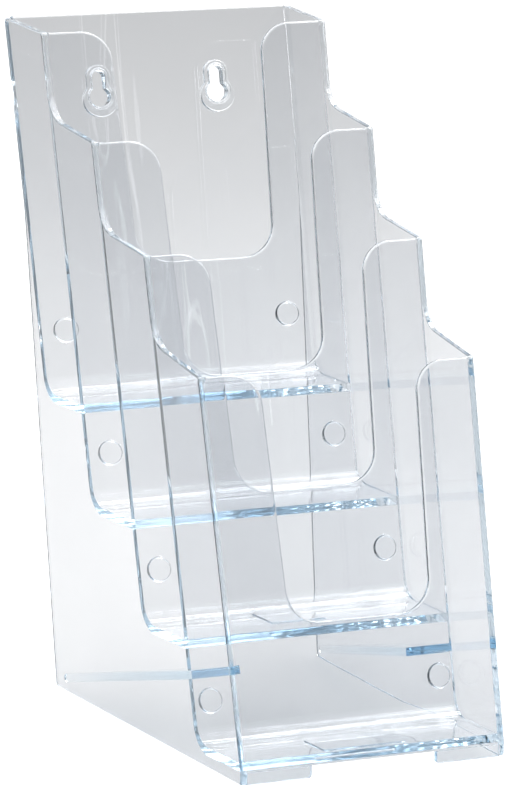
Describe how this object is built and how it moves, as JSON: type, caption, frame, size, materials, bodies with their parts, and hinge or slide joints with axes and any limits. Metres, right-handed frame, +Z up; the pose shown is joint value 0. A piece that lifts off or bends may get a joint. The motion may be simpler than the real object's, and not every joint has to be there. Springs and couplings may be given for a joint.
{
  "type": "tiered leaflet rack",
  "caption": "Clear plastic tiered rack with four stepped, rear-leaning leaflet pockets, U-shaped finger cut-outs and keyholes for hanging.",
  "frame": {"origin": "on the table, at the middle of the rack's overall width and front-to-rear length", "axes": "+Z up, -Y the front that the visitor faces, +X to the right as seen from the front"},
  "size_m": [0.1228, 0.2038, 0.2548],
  "materials": {
    "clear_side_wall": "gloss",
    "clear_panel": "gloss",
    "clear_floor": "gloss",
    "clear_moulded_detail": "gloss"
  },
  "bodies": {
    "root": {"left_side_wall": "clear_side_wall", "left_keyhole_rim": "clear_moulded_detail", "left_front_foot": "clear_moulded_detail", "left_base_rail": "clear_moulded_detail", "right_side_wall": "clear_side_wall", "right_keyhole_rim": "clear_moulded_detail", "right_front_foot": "clear_moulded_detail", "right_base_rail": "clear_moulded_detail", "back_panel": "clear_panel", "divider_panel_1": "clear_panel", "divider_panel_2": "clear_panel", "divider_panel_3": "clear_panel", "front_panel": "clear_panel", "pocket_floor_1": "clear_floor", "pocket_floor_2": "clear_floor", "pocket_floor_3": "clear_floor", "pocket_floor_4": "clear_floor"}
  },
  "joints": []
}
